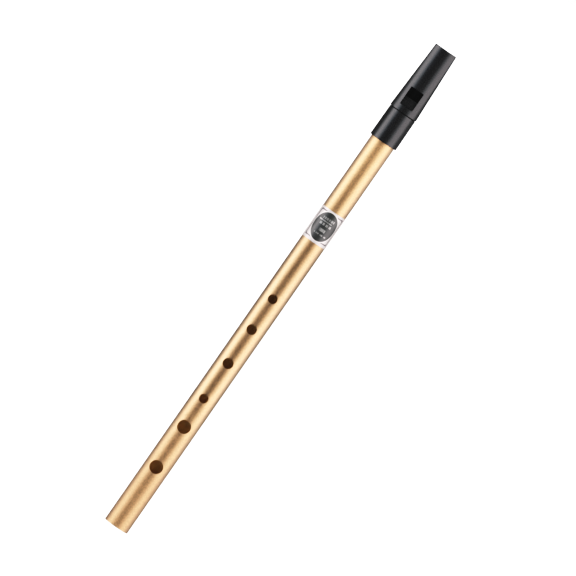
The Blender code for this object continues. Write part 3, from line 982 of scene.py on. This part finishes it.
FLOOR_GLOW = (0.3, 1.1)  # on the whistle and to the camera; keeps the floor white
LIGHT_LEVEL = 3.5
OVERHEAD_LIGHT = colour(0.25, 0.25, 0.25)
LIGHT_FROM_BELOW = colour(0.02, 0.02, 0.02)
SIDE_LIGHTS = (  # azimuth from the front in degrees, right of it positive, and the light there
    (-180, colour(0.12, 0.12, 0.12)),
    (-150, colour(0.06, 0.06, 0.06)),
    (-125, colour(0.01, 0.01, 0.01)),
    (-100, colour(0.04, 0.04, 0.04)),
    (-87, colour(0.31, 0.31, 0.31)),
    (-76, colour(1.10, 1.0, 0.99)),
    (-56, colour(1.10, 1.0, 0.99)),
    (-42, colour(0.48, 0.505, 0.535)),
    (-31, colour(0.04, 0.045, 0.055)),
    (0, colour(0.003, 0.003, 0.003)),
    (26, colour(0.065, 0.065, 0.065)),
    (40, colour(0.44, 0.435, 0.43)),
    (54, colour(0.88, 0.78, 0.77)),
    (84, colour(0.83, 0.74, 0.73)),
    (98, colour(0.30, 0.295, 0.29)),
    (112, colour(0.085, 0.085, 0.085)),
    (130, colour(0.04, 0.04, 0.04)),
    (150, colour(0.06, 0.06, 0.06)),
    (180, colour(0.12, 0.12, 0.12)),
)


def build_world():
    """White to the camera. Surfaces see two tall soft lights at the sides in a dark room."""
    world = bpy.data.worlds.new("studio")
    bpy.context.scene.world = world
    world.use_nodes = True
    graph = Graph(world.node_tree)
    world.node_tree.nodes.clear()
    direction = graph.add("ShaderNodeTexCoord").outputs["Generated"]
    split = graph.add("ShaderNodeSeparateXYZ")
    graph.feed(split.inputs[0], direction)
    forward = graph.math("MULTIPLY", split.outputs[1], -1.0)
    azimuth = graph.math("ARCTAN2", split.outputs[0], forward)
    ramp = graph.add("ShaderNodeValToRGB")
    graph.feed(ramp.inputs[0], graph.remap(azimuth, -math.pi, math.pi, 0, 1))
    elements = ramp.color_ramp.elements
    while len(elements) < len(SIDE_LIGHTS):
        elements.new(0.5)
    for element, (degrees, light) in zip(elements, SIDE_LIGHTS):
        element.position = (degrees + 180) / 360
        element.color = light
    overhead = graph.remap(split.outputs[2], 0.6, 0.9, 0, 1)
    room = graph.mix(overhead, ramp.outputs[0], OVERHEAD_LIGHT)
    below = graph.remap(split.outputs[2], -0.5, -0.8, 0, 1)
    room = graph.mix(below, room, LIGHT_FROM_BELOW)
    shown = graph.add("ShaderNodeLightPath").outputs["Is Camera Ray"]
    lit = graph.add("ShaderNodeBackground")
    graph.feed(lit.inputs["Color"], room)
    lit.inputs["Strength"].default_value = LIGHT_LEVEL
    white = graph.add("ShaderNodeBackground")
    white.inputs["Color"].default_value = colour(1, 1, 1)
    white.inputs["Strength"].default_value = BRIGHTEST
    choice = graph.add("ShaderNodeMixShader")
    graph.feed(choice.inputs[0], shown)
    graph.feed(choice.inputs[1], lit.outputs[0])
    graph.feed(choice.inputs[2], white.outputs[0])
    output = graph.add("ShaderNodeOutputWorld")
    graph.feed(output.inputs["Surface"], choice.outputs[0])


def set_exposure():
    """Film-like exposure: a soft foot keeps the blacks deep and a long shoulder holds the gold."""
    view = bpy.context.scene.view_settings
    view.view_transform = "Standard"
    view.use_curve_mapping = True
    mapping = view.curve_mapping
    mapping.white_level = (BRIGHTEST, BRIGHTEST, BRIGHTEST)
    curve = mapping.curves[3]
    for place in CURVE_PLACES:
        light = place * BRIGHTEST
        shown = 1 - math.exp(-CURVE_GAIN * light**CURVE_POWER)
        curve.points.new(place, blend_value(GLARE, 1, shown))
    curve.points[0].location = (0, GLARE)
    curve.points[-1].location = (1, 1)
    mapping.update()


def build_floor():
    bm = bmesh.new()
    bmesh.ops.create_circle(bm, cap_ends=True, radius=FLOOR_RADIUS, segments=FLOOR_SIDES)
    floor = make_piece("floor", bm)
    floor.visible_glossy = False
    material, graph, shader = new_material("pale_floor")
    place = graph.add("ShaderNodeTexCoord").outputs["Object"]
    tone = graph.noise(place, 3, 2)
    base = graph.mix(tone, colour(0.95, 0.95, 0.95), colour(0.96, 0.96, 0.96))
    graph.feed(shader.inputs["Base Color"], base)
    shader.inputs["Roughness"].default_value = 0.9
    shader.inputs["Specular IOR Level"].default_value = 0.0
    shader.inputs["Emission Color"].default_value = colour(1, 1, 1)
    shown = graph.add("ShaderNodeLightPath").outputs["Is Camera Ray"]
    graph.feed(shader.inputs["Emission Strength"], graph.remap(shown, 0, 1, *FLOOR_GLOW))
    floor.data.materials.append(material)


def build_camera():
    """A long lens in front of the whistle, rolled so that the whistle leans to the right."""
    data = bpy.data.cameras.new("camera")
    camera = bpy.data.objects.new("camera", data)
    bpy.context.scene.collection.objects.link(camera)
    bpy.context.scene.camera = camera
    data.sensor_width = SENSOR_WIDTH
    data.lens = SENSOR_WIDTH * CAMERA_DISTANCE / PICTURE_WIDTH
    back = Vector(
        (
            math.sin(CAMERA_AZIMUTH) * math.cos(CAMERA_ELEVATION),
            -math.cos(CAMERA_AZIMUTH) * math.cos(CAMERA_ELEVATION),
            math.sin(CAMERA_ELEVATION),
        )
    )
    level_right = Vector((0, 0, 1)).cross(back).normalized()
    upright = back.cross(level_right)
    right = level_right * math.cos(CAMERA_LEAN) + upright * math.sin(CAMERA_LEAN)
    up = back.cross(right)
    aim = WHISTLE_CENTRE + right * AIM_RIGHT + up * AIM_UP
    turn = Matrix((right, up, back)).transposed().to_4x4()
    camera.matrix_world = Matrix.Translation(aim + back * CAMERA_DISTANCE) @ turn
    data.clip_end = 2 * FLOOR_RADIUS


# --- Assembly ---------------------------------------------------------------------------------
def main():
    black = plastic_material("black_plastic", *HEAD_BLACK, HEAD_ROUGHNESS)
    block_black = plastic_material("block_plastic", *BLOCK_BLACK, BLOCK_ROUGHNESS)
    build_tube(gold_material(), bare_brass_material())
    build_label(label_material())
    build_mouthpiece(black)
    build_block(block_black)
    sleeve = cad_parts["tuning_sleeve"]
    sleeve.data.materials.clear()
    sleeve.data.materials.append(film_material())
    build_world()
    build_floor()
    build_camera()
    set_exposure()


main()
